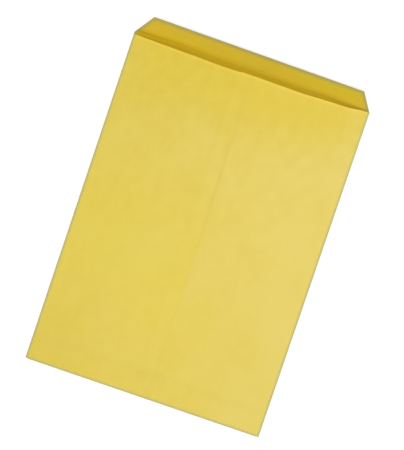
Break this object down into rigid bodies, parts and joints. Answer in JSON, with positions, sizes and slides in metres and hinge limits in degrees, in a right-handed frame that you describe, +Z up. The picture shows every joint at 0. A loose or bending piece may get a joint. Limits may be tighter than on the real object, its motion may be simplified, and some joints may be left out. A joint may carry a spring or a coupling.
{
  "type": "laminated envelope",
  "caption": "Flat pocket envelope of yellow laminated paper with a lapped centre seam and an open flap at its short end, for holding and posting large documents.",
  "frame": {"origin": "on the resting face, under the middle of the outline from the bottom fold to the flap's free edge", "axes": "+X across the pocket to the right, +Y from the bottom fold towards the mouth and flap, +Z up out of the seamed side"},
  "size_m": [0.254, 0.375, 0.0091],
  "materials": {
    "laminated_paper": "satin"
  },
  "bodies": {
    "root": {"envelope": "laminated_paper"}
  },
  "joints": []
}
